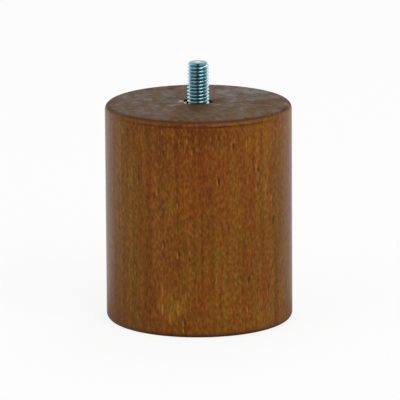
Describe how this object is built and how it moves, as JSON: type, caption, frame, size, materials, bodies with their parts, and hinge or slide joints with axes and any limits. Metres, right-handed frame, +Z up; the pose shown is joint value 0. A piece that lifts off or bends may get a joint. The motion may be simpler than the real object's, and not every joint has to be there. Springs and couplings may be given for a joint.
{
  "type": "bed foot",
  "caption": "Cylindrical turned wooden bed foot with a threaded metal stud standing out of the centre of its flat top.",
  "frame": {"origin": "centre of the flat underside, where the foot stands on the floor", "axes": "+Z up along the axis of the wooden cylinder and of the stud; X and Y lie in the floor, and the foot is round, so their direction is free"},
  "size_m": [0.068, 0.068, 0.095],
  "materials": {
    "stained_wood": "walnut-brown stain under satin lacquer",
    "zinc_plated_steel": "bright zinc plating with a blue passivation tint"
  },
  "bodies": {
    "root": {"wooden_foot": "stained_wood", "hanger_bolt": "zinc_plated_steel"}
  },
  "joints": []
}
